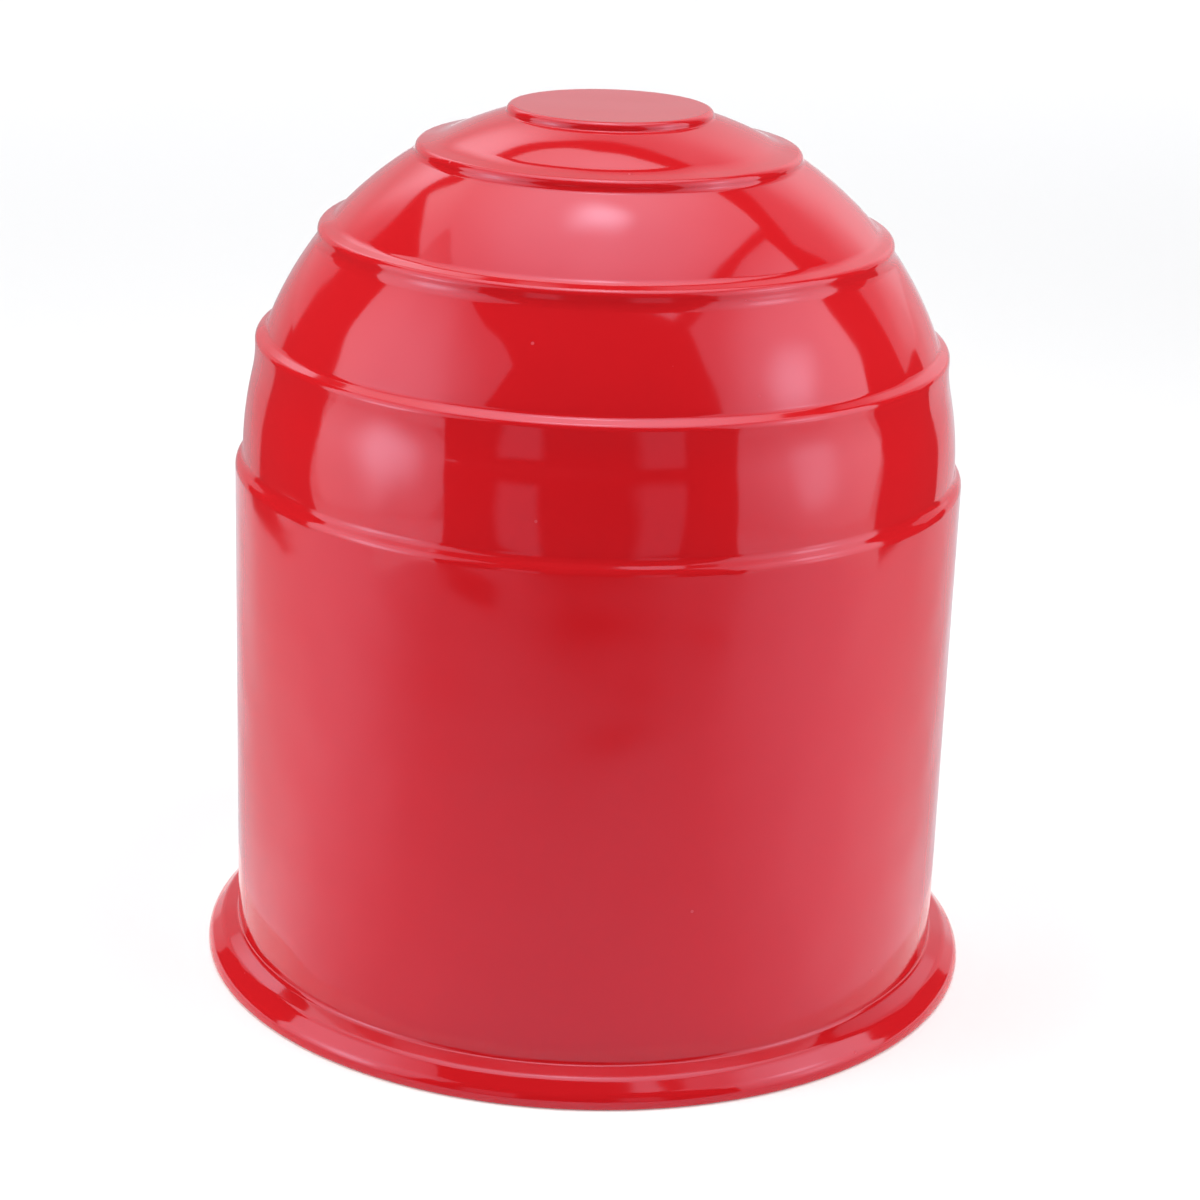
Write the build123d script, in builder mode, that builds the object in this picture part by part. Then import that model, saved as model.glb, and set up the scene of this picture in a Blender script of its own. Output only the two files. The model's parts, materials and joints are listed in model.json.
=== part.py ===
"""Cover for a towing ball: one moulded cap with a plain skirt, a dome of stepped rings and a foot bead.

Millimetres, +Z up. The origin is the centre of the rim, and the cap's axis is Z.
The section is drawn once, on the XZ plane, and turned about that axis.
"""
import os
from math import acos, cos, degrees, radians, sin, sqrt, tan

from build123d import *

# The ball that goes inside, and the wall around it
BALL_DIAMETER = 50.0
BALL_CLEARANCE = 0.25  # all round
WALL = 2.0
MOUTH_CHAMFER = 0.8

# Dome: bands on one sphere, each with a flank at its foot that runs out to a lip
DOME_CENTRE_HEIGHT = 39.7  # centre of the sphere, above the rim
BAND_INSET = 0.55  # how far the bands lie inside the skirt's own radius
LIP_RISE = 0.6  # how far a lip's corner stands out of its band
LIP_CHAMFER = 0.25
TOP_BAND_ANGLE = 14.8  # from the disc down to the first lip, seen from the dome's centre
RING_PITCH = 19.65  # from each lip of the dome to the next
SHOULDER_ANGLE = -1.1  # the last lip, where the dome becomes the skirt
FLANK_ANGLES = (3.6, 2.1, 1.5, 1.3)  # what each flank takes of its band, from the first lip to the last
LAST_FOOT_RADIUS = 10.0  # eases the last wall of the dome into the band below it

# Flat disc on the crown
DISC_RADIUS = 7.55
DISC_STEP = 0.6  # height of its edge above the band round it
DISC_CHAMFER = 0.15
CROWN_WALL = 2.1  # from the disc to the flat roof inside

# Bead round the foot
BEAD_HEIGHT = 2.5  # where it meets the skirt
BEAD_WIDTH = 2.35  # how far it stands out of the skirt
BEAD_KNEE_WIDTH = 1.25  # its upper face runs out to the knee, and the lower one on to the edge
BEAD_KNEE_HEIGHT = 2.0
BEAD_EDGE_HEIGHT = 0.9
RIM_CHAMFER = 0.2

# Sizes that follow
bore_radius = BALL_DIAMETER / 2 + BALL_CLEARANCE
skirt_radius = bore_radius + WALL
band_radius = skirt_radius - BAND_INSET
lip_radius = band_radius + LIP_RISE
bead_radius = skirt_radius + BEAD_WIDTH
top_ring_angle = degrees(acos(DISC_RADIUS / band_radius)) - TOP_BAND_ANGLE
ring_angles = [top_ring_angle - RING_PITCH * ring for ring in range(len(FLANK_ANGLES) - 1)]
ring_angles.append(SHOULDER_ANGLE)
flank_starts = [angle + flank for angle, flank in zip(ring_angles, FLANK_ANGLES)]


def from_dome_centre(distance, angle):
    """Point of the section at a distance from the dome's centre and an angle above its level."""
    return (
        distance * cos(radians(angle)),
        DOME_CENTRE_HEIGHT + distance * sin(radians(angle)),
    )


def on_band(radius):
    """Point of the bands' sphere at a radius from the axis."""
    return (radius, DOME_CENTRE_HEIGHT + sqrt(band_radius**2 - radius**2))


def between_tangents(first, second):
    """Corner where the bore's circle about the dome's centre has its tangents at two angles meet."""
    return from_dome_centre(bore_radius / cos(radians(first - second) / 2), (first + second) / 2)


# Outside corners. Each wall drops from the disc or a lip to a foot on the band below it
disc_height = on_band(DISC_RADIUS)[1] + DISC_STEP
disc_edge = (DISC_RADIUS, disc_height)
shoulder = (skirt_radius, DOME_CENTRE_HEIGHT + skirt_radius * tan(radians(SHOULDER_ANGLE)))
lips = [from_dome_centre(lip_radius, angle) for angle in ring_angles[:-1]] + [shoulder]
wall_tops = [disc_edge] + lips[:-1]
feet = [on_band(radius) for radius, height in wall_tops]
bead_knee = (skirt_radius + BEAD_KNEE_WIDTH, BEAD_KNEE_HEIGHT)
bead_edge = (bead_radius, BEAD_EDGE_HEIGHT)
rim_edge = (bead_radius, 0)

# Inside corners. A cone behind each band touches the sphere that clears the ball, so the wall is even
touch_angles = [angle + RING_PITCH / 2 for angle in ring_angles] + [0]
inside_corners = [between_tangents(*pair) for pair in zip(touch_angles[1:], touch_angles)]
mouth_edge = (bore_radius, 0)
roof_height = disc_height - CROWN_WALL
touch = radians(touch_angles[0])
roof_radius = (bore_radius - (roof_height - DOME_CENTRE_HEIGHT) * sin(touch)) / cos(touch)

with BuildPart() as cover:
    with BuildSketch(Plane.XZ) as section:
        with BuildLine():
            Line((0, disc_height), disc_edge)
            for wall_top, foot, lip, flank_start in zip(wall_tops, feet, lips, flank_starts):
                Line(wall_top, foot)
                foot_angle = degrees(acos(foot[0] / band_radius))
                sweep = flank_start - foot_angle
                band = CenterArc((0, DOME_CENTRE_HEIGHT), band_radius, foot_angle, sweep)
                Line(band @ 1, lip)
            Polyline(shoulder, (skirt_radius, BEAD_HEIGHT), bead_knee, bead_edge, rim_edge)
            Polyline(rim_edge, mouth_edge, *reversed(inside_corners), (roof_radius, roof_height))
            Polyline((roof_radius, roof_height), (0, roof_height), (0, disc_height))
        make_face()

        def corners(*points):
            """The section's vertices at the given points."""
            return [section.vertices().sort_by_distance(point)[0] for point in points]

        chamfer(corners(*lips), LIP_CHAMFER)
        fillet(corners(feet[-1]), LAST_FOOT_RADIUS)
        chamfer(corners(disc_edge), DISC_CHAMFER)
        chamfer(corners(rim_edge), RIM_CHAMFER)
        chamfer(corners(mouth_edge), MOUTH_CHAMFER)
    revolve(axis=Axis.Z)
cover.part.label = "cover"

os.makedirs("parts", exist_ok=True)
export_step(cover.part, "parts/cover.step")
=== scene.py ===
"""Tow ball cover in glossy red plastic, on a pale floor under soft studio light.

The cover is one moulded cap, round about Z. Its section is worked out in metres and then turned.
"""
import json
from math import acos, atan2, cos, pi, radians, sin, sqrt, tan

import bpy
import numpy as np
from mathutils import Matrix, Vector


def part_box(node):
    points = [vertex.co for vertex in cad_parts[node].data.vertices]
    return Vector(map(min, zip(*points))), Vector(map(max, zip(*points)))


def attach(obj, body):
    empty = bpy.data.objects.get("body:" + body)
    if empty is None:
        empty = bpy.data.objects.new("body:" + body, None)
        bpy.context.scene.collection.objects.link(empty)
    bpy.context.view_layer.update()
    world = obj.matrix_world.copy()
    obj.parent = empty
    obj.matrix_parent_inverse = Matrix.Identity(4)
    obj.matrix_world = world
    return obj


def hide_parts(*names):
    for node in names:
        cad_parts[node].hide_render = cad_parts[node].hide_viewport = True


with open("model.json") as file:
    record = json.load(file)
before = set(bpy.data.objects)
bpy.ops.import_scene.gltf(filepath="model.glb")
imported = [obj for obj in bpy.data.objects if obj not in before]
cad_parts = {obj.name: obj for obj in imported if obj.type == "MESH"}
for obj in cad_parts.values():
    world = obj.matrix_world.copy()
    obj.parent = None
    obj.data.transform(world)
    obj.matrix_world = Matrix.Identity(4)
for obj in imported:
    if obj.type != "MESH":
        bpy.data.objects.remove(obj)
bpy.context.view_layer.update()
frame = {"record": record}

MM = 0.001

# Sizes that the frame gives
cover_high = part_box("cover")[1]
ball_bore = next(mount for mount in frame["record"]["mounts"] if mount["name"] == "ball_bore")
bore_radius = ball_bore["dims"]["r_mm"] * MM
bead_radius = cover_high[0]
crown_height = cover_high[2]

# Wall, dome bands and lips
WALL = 2.0 * MM
BAND_INSET = 0.55 * MM  # the bands lie this far inside the skirt's own radius
LIP_RISE = 0.6 * MM  # a lip's corner stands this far out of its band
TOP_BAND_ANGLE = radians(14.8)  # from the disc down to the first lip, seen from the dome's centre
RING_PITCH = radians(19.65)  # from each lip of the dome to the next
SHOULDER_ANGLE = radians(-1.1)  # the last lip, where the dome becomes the skirt
FLANK_ANGLES = [radians(angle) for angle in (3.6, 2.1, 1.5, 1.3)]  # what each flank takes of its band

# Rounds of each tier from the top down: in the corner under its wall, at its flank's start, on its lip
FOOT_ROUNDS = [radius * MM for radius in (0.2, 0.5, 1.3, 10.0)]
FLANK_ROUNDS = [radius * MM for radius in (4.0, 1.2, 0.6, 0.8)]
LIP_ROUNDS = [radius * MM for radius in (0.5, 0.5, 0.5, 0.8)]

# Disc on the crown, and the roof under it
DISC_RADIUS = 7.55 * MM
DISC_STEP = 0.6 * MM
DISC_ROUND = 0.44 * MM
CROWN_WALL = 2.1 * MM
INSIDE_ROUND = 1.0 * MM

# Bead round the foot, and the mouth
BEAD_HEIGHT = 2.5 * MM
BEAD_KNEE_WIDTH = 1.25 * MM
BEAD_KNEE_HEIGHT = 2.0 * MM
BEAD_EDGE_HEIGHT = 0.9 * MM
CREASE_ROUND = 0.35 * MM  # where the bead meets the skirt
KNEE_ROUND = 1.25 * MM
BEAD_EDGE_ROUND = 1.25 * MM
RIM_ROUND = 0.3 * MM
MOUTH_CHAMFER = 0.8 * MM
MOUTH_ROUND = 0.15 * MM

# Sizes that follow
skirt_radius = bore_radius + WALL
band_radius = skirt_radius - BAND_INSET
lip_radius = band_radius + LIP_RISE
dome_centre = crown_height - DISC_STEP - sqrt(band_radius**2 - DISC_RADIUS**2)
top_ring_angle = acos(DISC_RADIUS / band_radius) - TOP_BAND_ANGLE
ring_angles = [top_ring_angle - RING_PITCH * ring for ring in range(len(FLANK_ANGLES) - 1)]
ring_angles.append(SHOULDER_ANGLE)

# Fineness of the surface
TURN_STEPS = 256
BAND_ROWS = 18
ROUND_ROWS = 8
STRAIGHT_ROWS = 7
SKIRT_ROWS = 30
FINE_ROWS_RISE = 1.25 * MM  # above the bead, where the skirt's rows end and finer ones start
SAME_POINT = 0.0001 * MM  # points closer together than this are one


def eased(count):
    """Fractions from 0 to 1, closer near both ends: half of 1 minus the cosine of a half turn."""
    return (1 - np.cos(np.linspace(0, pi, count))) / 2


def straight(start, end, count=STRAIGHT_ROWS):
    """Start plus eased fractions of the way to the end."""
    return np.asarray(start) + eased(count)[:, None] * np.subtract(end, start)


def arc(centre, radius, first, last, count=ROUND_ROWS):
    """Centre plus the radius times the cosine and sine of angles from first to last."""
    angle = first + (last - first) * eased(count)
    return np.asarray(centre) + radius * np.stack([np.cos(angle), np.sin(angle)], axis=1)


def rounded_run(corners, rounds):
    """Straight runs between corners, with an arc in each corner that touches both runs.

    The arc's ends lie its radius times the tangent of half the turn from the corner, and its centre
    lies on the line that halves the corner.
    """
    corners = np.asarray(corners, dtype=float)
    pieces = []
    start = corners[0]
    for before, corner, after, radius in zip(corners, corners[1:], corners[2:], rounds):
        arriving = (corner - before) / np.linalg.norm(corner - before)
        leaving = (after - corner) / np.linalg.norm(after - corner)
        side = np.sign(arriving[0] * leaving[1] - arriving[1] * leaving[0])
        turn = acos(np.clip(arriving @ leaving, -1, 1))
        reach = radius * tan(turn / 2)
        arc_start = corner - reach * arriving
        centre = arc_start + side * radius * np.array([-arriving[1], arriving[0]])
        first = atan2(*(arc_start - centre)[::-1])
        pieces.append(straight(start, arc_start))
        pieces.append(arc(centre, radius, first, first + side * turn))
        start = corner + reach * leaving
    pieces.append(straight(start, corners[-1]))
    return np.concatenate(pieces)


def from_dome_centre(distance, angle):
    """Point of the section at a distance from the dome's centre and an angle above its level."""
    return np.array([distance * cos(angle), dome_centre + distance * sin(angle)])


def dome_tier(wall_radius, lip, flank_start_angle, foot_round, flank_round, lip_round):
    """Foot, band, flank and lip of one step of the dome, below a wall at a radius from the axis.

    The foot's arc touches the wall and the bands' sphere. The flank runs straight from the sphere to
    the lip's corner. One arc touches the sphere and the flank, and the lip's arc touches the flank and
    the next wall down.
    """
    foot_radius = wall_radius + foot_round
    foot_height = sqrt((band_radius + foot_round) ** 2 - foot_radius**2)
    foot_centre = np.array([foot_radius, dome_centre + foot_height])
    foot_angle = atan2(foot_height, foot_radius)
    flank_start = from_dome_centre(band_radius, flank_start_angle)
    along = (lip - flank_start) / np.linalg.norm(lip - flank_start)
    outwards = np.array([-along[1], along[0]])
    spoke = flank_start + flank_round * outwards - (0, dome_centre)
    part_way = spoke @ along
    shift = sqrt(part_way**2 + (band_radius + flank_round) ** 2 - spoke @ spoke) - part_way
    flank_centre = spoke + shift * along
    band_end = atan2(flank_centre[1], flank_centre[0])
    facing = atan2(outwards[1], outwards[0])
    lip_start = lip - lip_round * tan(facing / 2) * along
    return np.concatenate([
        arc(foot_centre, foot_round, pi, pi + foot_angle),
        arc((0, dome_centre), band_radius, foot_angle, band_end, BAND_ROWS),
        arc(flank_centre + (0, dome_centre), flank_round, band_end - pi, facing - pi),
        straight(flank_start + shift * along, lip_start),
        arc(lip_start - lip_round * outwards, lip_round, facing, 0),
    ])


def crown_and_dome():
    """Disc with its round edge, then the tiers one below the other, down to the shoulder."""
    shoulder = np.array([skirt_radius, dome_centre + skirt_radius * tan(SHOULDER_ANGLE)])
    lips = [from_dome_centre(lip_radius, angle) for angle in ring_angles[:-1]] + [shoulder]
    walls = [DISC_RADIUS] + [lip[0] for lip in lips[:-1]]
    flank_start_angles = np.add(ring_angles, FLANK_ANGLES)
    disc_edge = np.array([DISC_RADIUS - DISC_ROUND, crown_height])
    pieces = [
        straight((0, crown_height), disc_edge),
        arc(disc_edge - (0, DISC_ROUND), DISC_ROUND, pi / 2, 0),
    ]
    for tier in zip(walls, lips, flank_start_angles, FOOT_ROUNDS, FLANK_ROUNDS, LIP_ROUNDS):
        pieces.append(dome_tier(*tier))
    return np.concatenate(pieces)


def skirt_and_bead(shoulder):
    """Straight skirt, bead and rim, as far as the mouth's chamfer."""
    above_crease = (skirt_radius, BEAD_HEIGHT + FINE_ROWS_RISE)
    crease = (skirt_radius, BEAD_HEIGHT)
    knee = (skirt_radius + BEAD_KNEE_WIDTH, BEAD_KNEE_HEIGHT)
    bead_edge = (bead_radius, BEAD_EDGE_HEIGHT)
    rim_edge = (bead_radius, 0)
    mouth_edge = (bore_radius + MOUTH_CHAMFER, 0)
    corners = [above_crease, crease, knee, bead_edge, rim_edge, mouth_edge]
    rounds = [CREASE_ROUND, KNEE_ROUND, BEAD_EDGE_ROUND, RIM_ROUND]
    skirt = straight(shoulder, above_crease, SKIRT_ROWS)
    return np.concatenate([skirt, rounded_run(corners, rounds)])


def inside():
    """Chamfered mouth, bore, a cone behind each band, and the flat roof.

    Each cone touches the sphere that clears the ball, and two neighbours meet halfway between the
    angles where they touch it, at the bore's radius over the cosine of half the angle between them.
    """
    touch_angles = [angle + RING_PITCH / 2 for angle in ring_angles] + [0]
    cones = [
        from_dome_centre(bore_radius / cos((upper - lower) / 2), (upper + lower) / 2)
        for upper, lower in zip(touch_angles, touch_angles[1:])
    ]
    roof_height = crown_height - CROWN_WALL
    steepest = touch_angles[0]
    roof_radius = (bore_radius - (roof_height - dome_centre) * sin(steepest)) / cos(steepest)
    mouth = [(bore_radius + MOUTH_CHAMFER, 0), (bore_radius, MOUTH_CHAMFER)]
    corners = mouth + cones[::-1] + [(roof_radius, roof_height), (0, roof_height)]
    rounds = [MOUTH_ROUND] + [INSIDE_ROUND] * (len(cones) + 1)
    return rounded_run(corners, rounds)


def cover_section():
    """Whole section from the disc's middle round the rim to the roof's middle, with no point doubled."""
    dome = crown_and_dome()
    points = np.concatenate([dome, skirt_and_bead(dome[-1]), inside()])
    apart = np.linalg.norm(np.diff(points, axis=0), axis=1) > SAME_POINT
    return points[np.concatenate([[True], apart])]


def turned(name, section):
    """Mesh of a section turned about Z: radius times the cosine and sine of each angle, height as it is.

    Both ends of the section lie on the axis. Each is one point with a fan of triangles round it.
    """
    angle = np.linspace(0, 2 * pi, TURN_STEPS, endpoint=False)
    rings = section[1:-1]
    across = np.outer(rings[:, 0], np.cos(angle))
    along = np.outer(rings[:, 0], np.sin(angle))
    height = np.repeat(rings[:, 1:], TURN_STEPS, axis=1)
    points = np.stack([across, along, height], axis=-1)
    poles = [[0, 0, section[0, 1]], [0, 0, section[-1, 1]]]
    vertices = np.concatenate([points.reshape(-1, 3), poles])
    here = np.arange(TURN_STEPS)
    after = np.roll(here, -1)
    row = np.arange(len(rings) - 1)[:, None] * TURN_STEPS
    below = row + TURN_STEPS
    quads = np.stack([row + here, below + here, below + after, row + after], axis=-1).reshape(-1, 4)
    first_pole = np.full(TURN_STEPS, len(vertices) - 2)
    last_row = (len(rings) - 1) * TURN_STEPS
    first_fan = np.stack([first_pole, here, after], axis=1)
    last_fan = np.stack([first_pole + 1, last_row + after, last_row + here], axis=1)
    mesh = bpy.data.meshes.new(name)
    mesh.from_pydata(vertices.tolist(), [], quads.tolist() + first_fan.tolist() + last_fan.tolist())
    mesh.shade_smooth()
    return mesh


def feed(tree, socket, value):
    """Gives a socket a value, or a link where the value is another socket."""
    if isinstance(value, bpy.types.NodeSocket):
        tree.links.new(value, socket)
    else:
        socket.default_value = value


def node(tree, kind, **inputs):
    """New node of a kind, with its named inputs fed. A name has an underscore for each space."""
    made = tree.nodes.new(kind)
    for name, value in inputs.items():
        feed(tree, made.inputs[name.replace("_", " ")], value)
    return made


def maths(tree, operation, *values):
    """Result of one sum on values or sockets."""
    made = tree.nodes.new("ShaderNodeMath")
    made.operation = operation
    for socket, value in zip(made.inputs, values):
        feed(tree, socket, value)
    return made.outputs["Value"]


def ramp(tree, value, start, end, first=0, last=1, kind="SMOOTHSTEP"):
    """Change from the first to the last amount as a value goes from start to end."""
    made = node(
        tree, "ShaderNodeMapRange", Value=value,
        From_Min=start, From_Max=end, To_Min=first, To_Max=last,
    )
    made.interpolation_type = kind
    return made.outputs["Result"]


def between_colours(tree, amount, first, second):
    """Colour that goes from the first at amount 0 to the second at amount 1."""
    made = tree.nodes.new("ShaderNodeMix")
    made.data_type = "RGBA"
    tree.links.new(amount, made.inputs["Factor"])
    colours = [socket for socket in made.inputs if socket.type == "RGBA"]
    for socket, value in zip(colours, (first, second)):
        feed(tree, socket, value)
    return next(socket for socket in made.outputs if socket.type == "RGBA")


def own_place(tree):
    """Object coordinates of each point of a piece."""
    return tree.nodes.new("ShaderNodeTexCoord").outputs["Object"]


def place_parts(tree):
    """Object coordinates of each point of a piece, apart as X, Y and Z."""
    return node(tree, "ShaderNodeSeparateXYZ", Vector=own_place(tree)).outputs


def noise(tree, place, cells, layers):
    """Noise with so many cells to a metre, and so many finer layers over them."""
    return node(tree, "ShaderNodeTexNoise", Vector=place, Scale=cells, Detail=layers).outputs["Fac"]


def bump(tree, height, depth, **inputs):
    """Normal of a surface that is raised by the depth where the height is 1."""
    return node(tree, "ShaderNodeBump", Height=height, Distance=depth, **inputs).outputs["Normal"]


# Finish of the moulded plastic. A noise is its cells to a metre and its finer layers
PLASTIC_RED = (0.57, 0.0092, 0.0134, 1)
PLASTIC_DEEP_RED = (0.53, 0.0080, 0.0115, 1)
PIGMENT_NOISE = (45, 3)
PLASTIC_IOR = 1.54
REFLECTION_TINT = (0.75, 0.76, 1.0, 1)
HAZE_NOISE = (60, 4)
HAZE_SPREAD = (0.3, 0.7)  # of the noise, from the smoothest plastic to the haziest
SMOOTHEST, HAZIEST = 0.05, 0.10
WAVE_NOISE = (120, 1)
WAVE_DEPTH = 0.3 * MM
DISC_WAVES = 0.15  # share of the waves that is left on the disc
WAVES_FADE = 2 * DISC_STEP  # depth below the disc where the waves start to fade
GRAIN_NOISE = (1400, 2)
GRAIN_DEPTH = 0.0006 * MM
DUST_CELLS = 250  # to a metre
DUST_SIZE = 0.03  # share of a cell
DUST_DEPTH = 0.02 * MM
DUST_PINK = (0.62, 0.035, 0.045, 1)
DUST_ROUGHNESS = 0.5


def moulded_plastic():
    """Glossy red plastic with the moulding's slow waves, a fine grain, hazier zones and some dust."""
    material = bpy.data.materials.new("red_moulded_plastic")
    material.use_nodes = True
    tree = material.node_tree
    shader = tree.nodes["Principled BSDF"]
    place = own_place(tree)

    cells = node(tree, "ShaderNodeTexVoronoi", Vector=place, Scale=DUST_CELLS)
    dust = maths(tree, "LESS_THAN", cells.outputs["Distance"], DUST_SIZE)
    pigment = between_colours(tree, noise(tree, place, *PIGMENT_NOISE), PLASTIC_DEEP_RED, PLASTIC_RED)
    tree.links.new(between_colours(tree, dust, pigment, DUST_PINK), shader.inputs["Base Color"])

    haze = noise(tree, place, *HAZE_NOISE)
    gloss = ramp(tree, haze, *HAZE_SPREAD, SMOOTHEST, HAZIEST, "LINEAR")
    dusty = maths(tree, "MULTIPLY", dust, DUST_ROUGHNESS)
    tree.links.new(maths(tree, "MAXIMUM", gloss, dusty), shader.inputs["Roughness"])

    height = place_parts(tree)["Z"]
    waviness = ramp(tree, height, crown_height - WAVES_FADE, crown_height, 1, DISC_WAVES)
    wavy = bump(tree, noise(tree, place, *WAVE_NOISE), WAVE_DEPTH, Strength=waviness)
    grained = bump(tree, noise(tree, place, *GRAIN_NOISE), GRAIN_DEPTH, Normal=wavy)
    dusted = bump(tree, dust, DUST_DEPTH, Normal=grained)
    tree.links.new(dusted, shader.inputs["Normal"])

    shader.inputs["IOR"].default_value = PLASTIC_IOR
    shader.inputs["Specular Tint"].default_value = REFLECTION_TINT
    return material


def build_cover():
    """The whole moulding as one piece in place of the solid."""
    cover = bpy.data.objects.new("cover_moulding", turned("cover_moulding", cover_section()))
    bpy.context.scene.collection.objects.link(cover)
    cover.data.materials.append(moulded_plastic())
    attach(cover, "root")
    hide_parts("cover")


# Studio in metres, with the camera on the side of minus Y
FOOT_MIDDLE = (0, 0, 0)  # of the cover, on the floor
WORLD_GREY = (0.05, 0.05, 0.05, 1)
WHITE = (1, 1, 1, 1)
COOL_WHITE = (0.93, 0.94, 1, 1)

# Floor
FLOOR_HALF = 10.0
FLOOR_WHITE = (0.8, 0.8, 0.8, 1)
FLOOR_FAR_WHITE = (0.97, 0.97, 0.97, 1)
FLOOR_PALE = (0.2, 0.65)  # distances where it starts to grow paler, and is palest
# Glow under the cover: it lights the foot from below and lightens the cover's shadow on the floor
FLOOR_GLOW = 0.8  # under the cover
FLOOR_GLOW_REACH = 46 * MM
FLOOR_FAR_GLOW = 0.9
FLOOR_FAR_GLOW_DISTANCES = (0.5, 1.4)  # where it starts, and is full

# Cards that show in the gloss, as painted reflections: they shine but light nothing. Angles are in
# degrees round from the camera's side, towards plus X
CARD_STEP = 3  # between the points of a card's edge
FULL_TURN = (-180, 180)
SCREEN_RADIUS = 140 * MM
SCREEN_HEIGHT = 62 * MM
# Painted reflections: bright and dark sectors at the sides and behind
SIDE_SCREENS = (  # first and last angle, and brightness
    (-165, -125, 0.55), (-125, -92, 0.05), (92, 125, 0.05), (125, 165, 0.8),
)
# Front screen: a painted reflection of a dark front with two soft light strips
FRONT_SCREEN = (-44, 41)
FRONT_DARK = 0.02
FRONT_STRIPS = (  # angles where a strip starts, is full, starts to fade and ends, and its brightness
    (-30.5, -25.5, -17, -14.5, 0.55), (8.5, 12.5, 22, 24.5, 0.45),
)
STRIP_HEIGHTS = (4 * MM, 10 * MM, 50 * MM, 60 * MM)  # where strips start, are full, start to fade and end
# The apron is a painted reflection of the floor's light and shade: brighter at the sides, dimmer in front
# and dimmest far off, with a patch of painted shade in front
APRON_NEAR, APRON_FAR = 34 * MM, SCREEN_RADIUS
APRON_RISE = 0.2 * MM
APRON_FADES = (-72, -40, 26, 60)  # angles where its front starts, is full, starts to fade and ends
APRON_FRONT = (1.0, 0.45)  # brightness at its near and far edges
APRON_PAINTED_SHADE = ((0, -0.14, 0), 75 * MM, -0.4)  # place, reach and gain
APRON_SIDE, APRON_BACK = 1.35, 0.85
APRON_TURN = (75, 118)  # angles either way where the side starts to fade into the back, and ends

# Softbox overhead. A glow is a place, a reach and a gain
OVERHEAD_HEIGHT = 1.2
OVERHEAD_MIDDLE = (-0.268, 0.195)
OVERHEAD_WIDTH, OVERHEAD_DEPTH = 1.93, 1.25
OVERHEAD_TURN = radians(-18.3)
OVERHEAD_BRIGHTNESS = 1.75
OVERHEAD_GLOW_MIDDLE = (-0.05, 0.05, OVERHEAD_HEIGHT)
OVERHEAD_GLOWS = ((OVERHEAD_GLOW_MIDDLE, 1.0, 1.8), (OVERHEAD_GLOW_MIDDLE, 0.25, 5.0))

# Upright softboxes, with places on a panel given along Y and up at the sides, along X and up behind
SIDE_DISTANCE = 0.19
LEFT_CORNERS = ((0.002, 0), (-0.15, 0), (-0.193, 0.04), (-0.27, 0.29), (0.062, 0.29))
LEFT_BRIGHTNESS = 0.92
LEFT_GLOWS = (((-0.06, 0.115), 0.22, 1.8), ((-0.085, 0.062), 0.07, 3.0))
RIGHT_CORNERS = ((0.002, 0), (-0.215, 0), (-0.25, 0.42), (0.064, 0.29))
RIGHT_BRIGHTNESS = 1.1
RIGHT_GLOWS = (((-0.045, 0.14), 0.24, 1.7), ((-0.075, 0.143), 0.06, 2.6), ((-0.08, 0.052), 0.05, 1.3))
BACK_DISTANCE = 0.65
BACK_CORNERS = ((-0.8, 0), (1.08, 0), (1.08, 1.1), (-0.8, 0.56))
BACK_BRIGHTNESS = 0.65
BACK_GLOWS = (((-0.36, 0.62), 0.4, 1.7), ((0.45, 0.12), 0.5, 0.4), ((0.4, 0.5), 0.5, 0.5))


def stage_mesh(name, vertices, faces):
    """Stage object with a new, empty node material, as (object, node tree)."""
    mesh = bpy.data.meshes.new(name)
    mesh.from_pydata(np.asarray(vertices).tolist(), [], np.asarray(faces).tolist())
    material = bpy.data.materials.new(name)
    material.use_nodes = True
    material.node_tree.nodes.clear()
    mesh.materials.append(material)
    stand = bpy.data.objects.new(name, mesh)
    bpy.context.scene.collection.objects.link(stand)
    return stand, material.node_tree


def show(tree, shader):
    """Makes a shader the surface of its material."""
    output = tree.nodes.new("ShaderNodeOutputMaterial")
    tree.links.new(shader, output.inputs["Surface"])


def shine(tree, level, colour):
    """Makes a material that only shines, in a colour and at a level, which is a value or a socket."""
    show(tree, node(tree, "ShaderNodeEmission", Color=colour, Strength=level).outputs["Emission"])


def from_place(tree, centre):
    """Distance of each point of a piece from a place."""
    away = node(tree, "ShaderNodeVectorMath", Vector=own_place(tree))
    away.operation = "DISTANCE"
    away.inputs[1].default_value = centre
    return away.outputs["Value"]


def angle_round(tree):
    """Angle in degrees of each point of a card, round from the camera's side towards plus X."""
    place = place_parts(tree)
    forwards = maths(tree, "MULTIPLY", place["Y"], -1)
    return maths(tree, "DEGREES", maths(tree, "ARCTAN2", place["X"], forwards))


def glow(tree, place, reach, gain):
    """Brightness that is the gain at a place and falls smoothly to nothing at the reach."""
    return ramp(tree, from_place(tree, place), 0, reach, gain, 0, "SMOOTHERSTEP")


def plateau(tree, value, start, full, fading, end):
    """Amount that rises smoothly from 0 at the start to 1, and falls again to 0 at the end."""
    return maths(tree, "MULTIPLY", ramp(tree, value, start, full), ramp(tree, value, fading, end, 1, 0))


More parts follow.
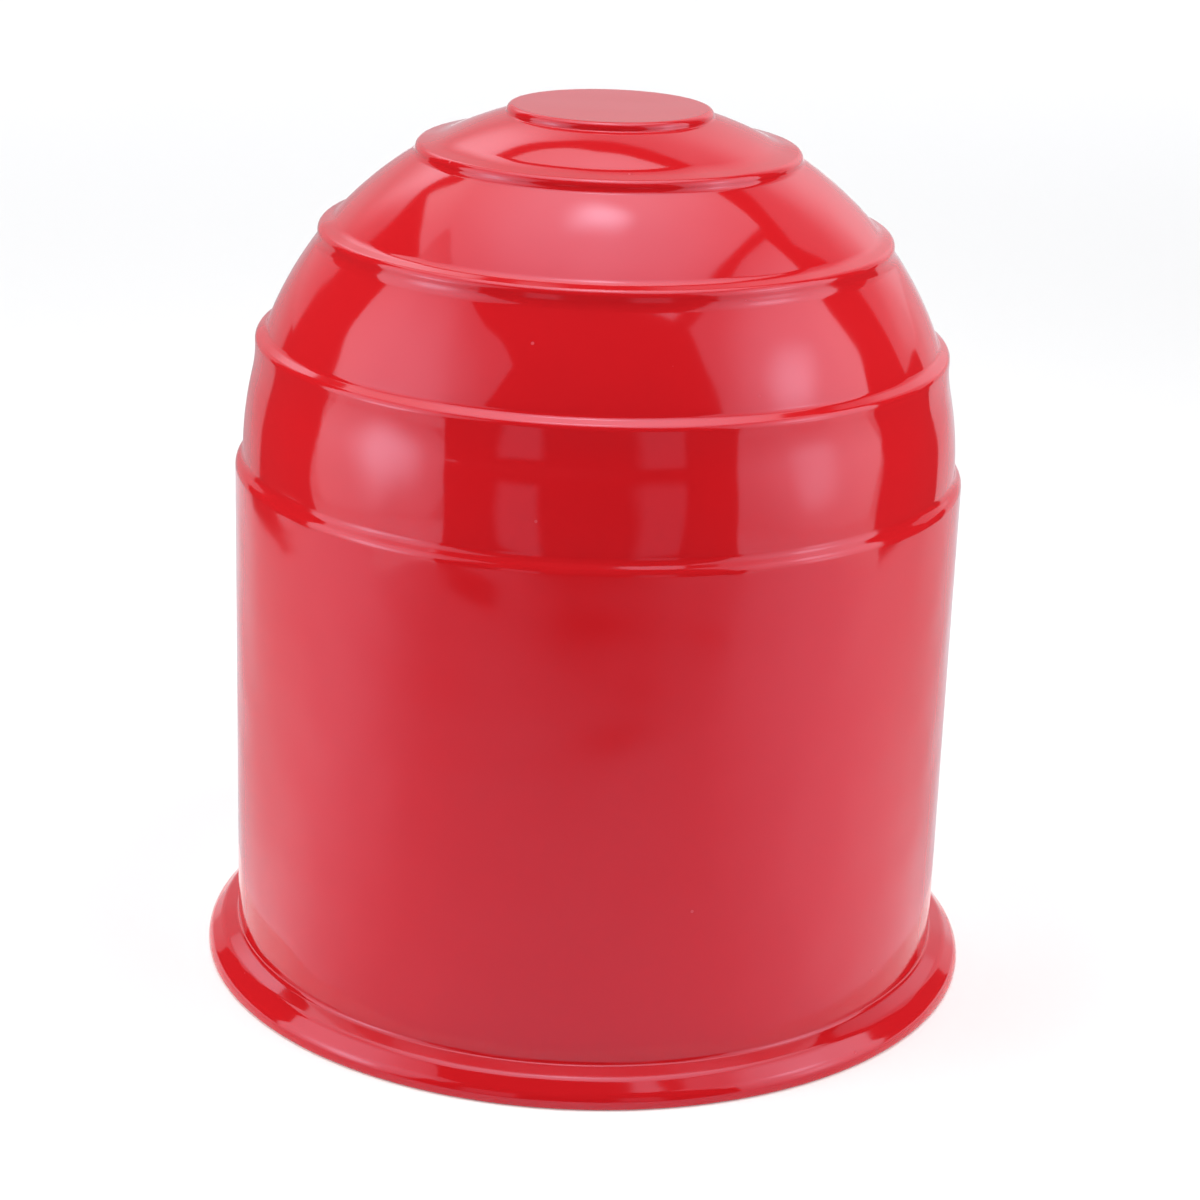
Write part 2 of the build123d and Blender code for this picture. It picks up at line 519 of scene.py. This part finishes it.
def lay_floor():
    """Wide matt pale floor, paler far off, that shines a little under the cover, as a light table does.

    The glow under the cover is partly painted light: it lightens the cover's shadow on the floor, and it
    also lights the cover's foot from below. Far off it also looks white to the camera, in gloss and
    through glass, without lighting the cover.
    """
    corners = FLOOR_HALF * np.array([[-1, -1, 0], [1, -1, 0], [1, 1, 0], [-1, 1, 0]])
    tree = stage_mesh("floor", corners, [range(len(corners))])[1]
    distance = from_place(tree, FOOT_MIDDLE)
    white = between_colours(tree, ramp(tree, distance, *FLOOR_PALE), FLOOR_WHITE, FLOOR_FAR_WHITE)
    matt = node(tree, "ShaderNodeBsdfDiffuse", Color=white)
    # Painted light: this glow lightens the cover's shadow on the floor
    under_cover = glow(tree, FOOT_MIDDLE, FLOOR_GLOW_REACH, FLOOR_GLOW)
    rays = tree.nodes.new("ShaderNodeLightPath").outputs
    looking = maths(tree, "MAXIMUM", rays["Is Camera Ray"], rays["Is Glossy Ray"])
    looking = maths(tree, "MAXIMUM", looking, rays["Is Transmission Ray"])
    far_off = ramp(tree, distance, *FLOOR_FAR_GLOW_DISTANCES, 0, FLOOR_FAR_GLOW)
    level = maths(tree, "ADD", under_cover, maths(tree, "MULTIPLY", far_off, looking))
    shining = node(tree, "ShaderNodeEmission", Strength=level)
    both = tree.nodes.new("ShaderNodeAddShader")
    tree.links.new(matt.outputs["BSDF"], both.inputs[0])
    tree.links.new(shining.outputs["Emission"], both.inputs[1])
    show(tree, both.outputs["Shader"])


def gloss_card(name, sector, near, far, rise):
    """Card round the cover that shows only in the gloss. Gives its node tree.

    It runs over a sector of angles, from a near radius on the floor to a far one, higher by the rise.
    What it shows is a painted reflection, as it lights nothing.
    """
    count = round((sector[1] - sector[0]) / CARD_STEP) + 1
    angle = np.radians(np.linspace(*sector, count))
    outwards = np.stack([np.sin(angle), -np.cos(angle), 0 * angle], axis=1)
    vertices = np.concatenate([near * outwards, far * outwards + (0, 0, rise)])
    here = np.arange(count - 1)
    faces = np.stack([here, here + 1, here + 1 + count, here + count], axis=1)
    card, tree = stage_mesh(name, vertices, faces)
    card.visible_camera = False
    card.visible_diffuse = False
    card.visible_shadow = False
    return tree


def upright_screen(name, sector):
    """Gloss card that stands on the floor, over a sector of angles. Gives its node tree."""
    return gloss_card(name, sector, SCREEN_RADIUS, SCREEN_RADIUS, SCREEN_HEIGHT)


def stand_screens():
    """Low upright screens: plain ones at the sides, and a dark one in front with two soft strips."""
    # Painted reflections: plain bright or dark screens at the sides, and a dark front with two soft light
    # strips
    for number, (*sector, brightness) in enumerate(SIDE_SCREENS):
        shine(upright_screen("screen_%d" % number, sector), brightness, COOL_WHITE)
    tree = upright_screen("screen_front", FRONT_SCREEN)
    angle = angle_round(tree)
    standing = plateau(tree, place_parts(tree)["Z"], *STRIP_HEIGHTS)
    level = FRONT_DARK
    for *edges, brightness in FRONT_STRIPS:
        strip = maths(tree, "MULTIPLY", plateau(tree, angle, *edges), brightness)
        level = maths(tree, "ADD", level, maths(tree, "MULTIPLY", strip, standing))
    shine(tree, level, COOL_WHITE)


def spread_apron():
    """Sheet on the floor all round: bright at the sides, dim in front, and dimmest at its far edge."""
    tree = gloss_card("apron", FULL_TURN, APRON_NEAR, APRON_FAR, APRON_RISE)
    distance = from_place(tree, FOOT_MIDDLE)
    angle = angle_round(tree)
    # Painted light: the front dims with distance, and a patch of painted shade is taken out of it
    front = ramp(tree, distance, APRON_NEAR, APRON_FAR, *APRON_FRONT, "LINEAR")
    front = maths(tree, "ADD", front, glow(tree, *APRON_PAINTED_SHADE))
    rest = ramp(tree, maths(tree, "ABSOLUTE", angle), *APRON_TURN, APRON_SIDE, APRON_BACK)
    step = maths(tree, "SUBTRACT", front, rest)
    dimming = maths(tree, "MULTIPLY", plateau(tree, angle, *APRON_FADES), step)
    shine(tree, maths(tree, "ADD", dimming, rest), COOL_WHITE)


def softbox(name, corners, brightness, glows, colour=WHITE):
    """Flat shining panel between its corners, which shows to no camera.

    The glows, each a place, a reach and a gain, add to its even brightness.
    """
    panel, tree = stage_mesh(name, corners, [range(len(corners))])
    level = brightness
    for spot in glows:
        level = maths(tree, "ADD", level, glow(tree, *spot))
    shine(tree, level, colour)
    panel.visible_camera = False
    panel.visible_shadow = False


def overhead_corners():
    """Corners of the overhead softbox, a level rectangle turned about the upright through its middle."""
    across = np.array([cos(OVERHEAD_TURN), sin(OVERHEAD_TURN)]) * OVERHEAD_WIDTH / 2
    along = np.array([-sin(OVERHEAD_TURN), cos(OVERHEAD_TURN)]) * OVERHEAD_DEPTH / 2
    signs = ((-1, -1), (-1, 1), (1, 1), (1, -1))
    flat = [np.array(OVERHEAD_MIDDLE) + a * across + b * along for a, b in signs]
    return [(x, y, OVERHEAD_HEIGHT) for x, y in flat]


def light_studio():
    """Softboxes overhead, on both sides and behind."""
    softbox("softbox_overhead", overhead_corners(), OVERHEAD_BRIGHTNESS, OVERHEAD_GLOWS)
    sides = (
        ("softbox_left", -SIDE_DISTANCE, LEFT_CORNERS, LEFT_BRIGHTNESS, LEFT_GLOWS),
        ("softbox_right", SIDE_DISTANCE, RIGHT_CORNERS, RIGHT_BRIGHTNESS, RIGHT_GLOWS),
    )
    for name, x, flat_corners, brightness, flat_glows in sides:
        corners = [(x, y, z) for y, z in flat_corners]
        glows = [((x, y, z), reach, gain) for (y, z), reach, gain in flat_glows]
        softbox(name, corners, brightness, glows)
    corners = [(x, BACK_DISTANCE, z) for x, z in BACK_CORNERS]
    glows = [((x, BACK_DISTANCE, z), reach, gain) for (x, z), reach, gain in BACK_GLOWS]
    softbox("softbox_behind", corners, BACK_BRIGHTNESS, glows, COOL_WHITE)


def build_studio():
    """Pale floor, cards for the gloss, softboxes and a dim world."""
    lay_floor()
    stand_screens()
    spread_apron()
    light_studio()
    world = bpy.data.worlds.new("studio")
    world.use_nodes = True
    world.node_tree.nodes["Background"].inputs["Color"].default_value = WORLD_GREY
    bpy.context.scene.world = world


# Camera, fitted to the outline and the lips in the photograph
CAMERA_DISTANCE = 215.4 * MM  # level, from the cover's axis
CAMERA_HEIGHT = 102.0 * MM
CAMERA_PITCH = radians(18.98)  # downwards
CAMERA_YAW = radians(0.12)  # towards plus X
CAMERA_ROLL = radians(1.95)
CAMERA_LENS = 89.03  # in millimetres, as the sensor's width is
CAMERA_SENSOR = 36.0
CAMERA_CLIP = 10 * MM


def place_camera():
    """Camera at the photograph's place: turned about Z, tipped down, and rolled about its own line."""
    data = bpy.data.cameras.new("camera")
    data.lens = CAMERA_LENS
    data.sensor_width = CAMERA_SENSOR
    data.clip_start = CAMERA_CLIP
    camera = bpy.data.objects.new("camera", data)
    turn = Matrix.Rotation(-CAMERA_YAW, 3, "Z")
    tip = Matrix.Rotation(pi / 2 - CAMERA_PITCH, 3, "X")
    roll = Matrix.Rotation(CAMERA_ROLL, 3, "Z")
    camera.location = (0, -CAMERA_DISTANCE, CAMERA_HEIGHT)
    camera.rotation_euler = (turn @ tip @ roll).to_euler()
    bpy.context.scene.collection.objects.link(camera)
    bpy.context.scene.camera = camera


build_cover()
build_studio()
place_camera()
bpy.context.scene.view_settings.view_transform = "Standard"
